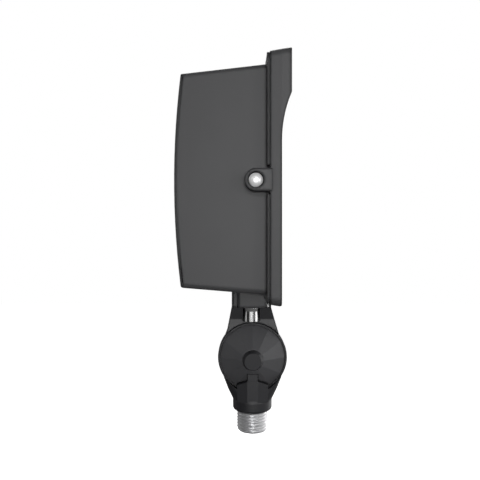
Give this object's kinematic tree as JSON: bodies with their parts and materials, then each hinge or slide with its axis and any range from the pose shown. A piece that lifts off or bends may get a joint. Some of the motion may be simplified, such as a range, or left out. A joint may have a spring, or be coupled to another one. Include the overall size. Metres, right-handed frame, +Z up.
{
  "type": "flood light",
  "caption": "Die-cast LED flood light with a deep finned housing, a hooded glass front and a friction-held tilting knuckle on a threaded pipe nipple.",
  "frame": {"origin": "on the nipple axis, at the under face of the collar", "axes": "+X the way the light shines, +Z up along the nipple axis, Y along the tilt axis"},
  "size_m": [0.0692, 0.166, 0.2356],
  "materials": {
    "housing_coat": "die-cast, fine-textured powder coat",
    "frame_coat": "die-cast, fine-textured powder coat",
    "arm_coat": "die-cast, fine-textured powder coat",
    "knuckle_coat": "die-cast, satin powder coat",
    "cover": "die-cast, satin powder coat",
    "plug": "matte",
    "stainless": "bright",
    "zinc_steel": "turned, zinc plated",
    "steel": "zinc plated",
    "lens": "clear tempered",
    "gasket": "matte",
    "reflector": "metallised",
    "board": "white solder mask",
    "phosphor": "yellow phosphor",
    "thermal_pad": "matte",
    "spreader": "plain sheet",
    "driver_case": "matte",
    "terminal": "matte",
    "ground_green": "green",
    "lead_red": "satin insulation",
    "lead_black": "satin insulation",
    "vent": "matte",
    "friction": "fibre"
  },
  "bodies": {
    "base": {"lower_arm": "knuckle_coat", "nipple": "zinc_steel", "near_cap": "cover", "near_plug": "plug", "pivot_bolt": "steel", "pivot_washers": "steel", "pivot_nut": "steel", "friction_disc": "friction", "knuckle_oring": "gasket"},
    "head": {"rear_housing": "housing_coat", "front_frame": "frame_coat", "lens_glass": "lens", "lens_gasket": "gasket", "housing_gasket": "gasket", "lens_clips": "steel", "clip_screws": "steel", "side_screws": "stainless", "reflector": "reflector", "reflector_screws": "steel", "led_board": "board", "leds": "phosphor", "thermal_pad": "thermal_pad", "led_plate": "spreader", "plate_screws": "steel", "led_driver": "driver_case", "driver_bracket": "steel", "driver_screws": "steel", "terminal_block": "terminal", "ground_screw": "ground_green", "led_leads": "lead_red", "driver_leads": "lead_black", "breather_vent": "vent", "upper_arm": "arm_coat", "neck_stud": "stainless", "neck_pin": "stainless", "neck_screws": "steel", "far_cap": "cover", "far_plug": "plug"}
  },
  "joints": [
    {"name": "tilt", "type": "hinge", "parent": "base", "child": "head", "pos_m": [0, 0, 0.0364], "axis": [0, 1, 0], "range_deg": [-60, 60]}
  ]
}
